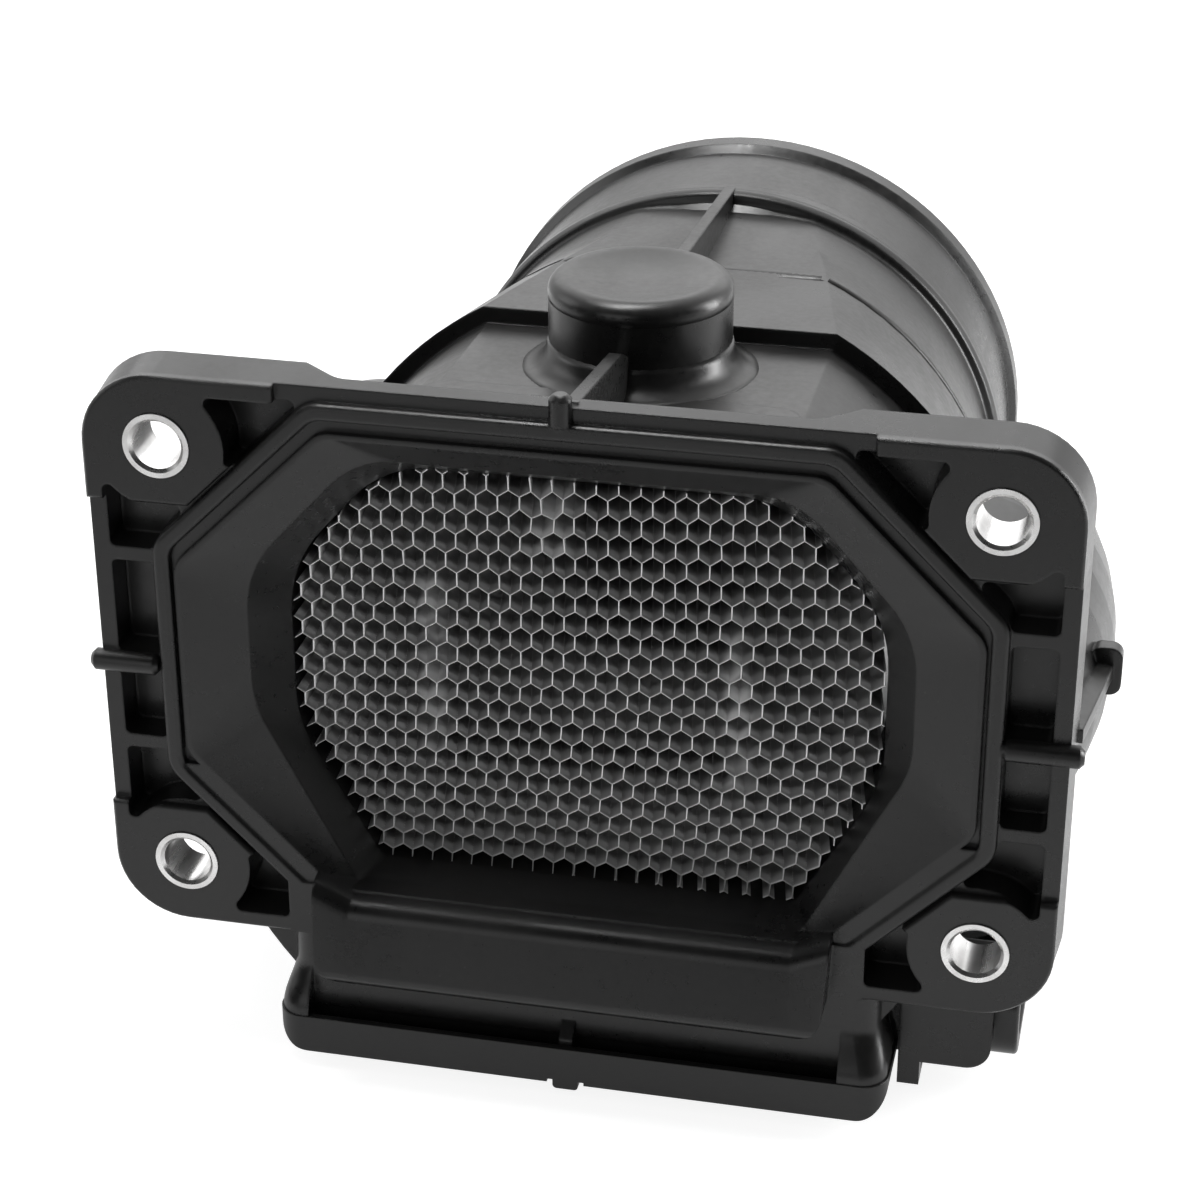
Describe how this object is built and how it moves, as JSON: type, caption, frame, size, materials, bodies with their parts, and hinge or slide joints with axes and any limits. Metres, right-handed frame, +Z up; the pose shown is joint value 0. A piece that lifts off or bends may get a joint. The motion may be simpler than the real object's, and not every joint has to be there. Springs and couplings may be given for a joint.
{
  "type": "mass airflow sensor",
  "caption": "Ultrasonic vortex mass airflow sensor: bolt-on flange with a honeycomb-covered funnel mouth, round outlet spigot, top boss and side connector.",
  "frame": {"origin": "centre of the four bolt holes, on the front plane of the flange's corner pads", "axes": "+X across the flange to the connector side, +Y along the air flow from the mouth to the outlet spigot, +Z up from the base plate to the top boss"},
  "size_m": [0.1396, 0.1474, 0.1038],
  "materials": {
    "moulded_plastic": "semi-gloss black glass-filled plastic with a fine moulded mottle",
    "cover_plastic": "semi-gloss black plastic",
    "inner_plastic": "dark grey plastic",
    "honeycomb_foil": "thin bright foil",
    "sleeve_aluminium": "turned, bright",
    "transducer_case": "satin",
    "seal_rubber": "soft black rubber",
    "terminal_metal": "tin-plated, satin",
    "probe_plastic": "black plastic",
    "board_laminate": "green solder mask",
    "chip_resin": "black moulding resin"
  },
  "bodies": {
    "root": {"air_temperature_sensor": "probe_plastic", "amplifier_chip": "chip_resin", "bottom_cover": "cover_plastic", "circuit_board": "board_laminate", "clock_crystal": "transducer_case", "cover_seal": "seal_rubber", "filter_capacitor": "transducer_case", "flow_straightener": "honeycomb_foil", "housing": "moulded_plastic", "metering_duct": "inner_plastic", "mounting_sleeve_1": "sleeve_aluminium", "mounting_sleeve_2": "sleeve_aluminium", "mounting_sleeve_3": "sleeve_aluminium", "mounting_sleeve_4": "sleeve_aluminium", "pressure_sensor": "chip_resin", "processor_chip": "chip_resin", "receiver_seal": "seal_rubber", "terminal_1": "terminal_metal", "terminal_2": "terminal_metal", "terminal_3": "terminal_metal", "terminal_4": "terminal_metal", "terminal_5": "terminal_metal", "terminal_6": "terminal_metal", "terminal_7": "terminal_metal", "transmitter_lead": "terminal_metal", "transmitter_seal": "seal_rubber", "ultrasonic_receiver": "transducer_case", "ultrasonic_transmitter": "transducer_case", "vortex_generator": "inner_plastic"}
  },
  "joints": []
}
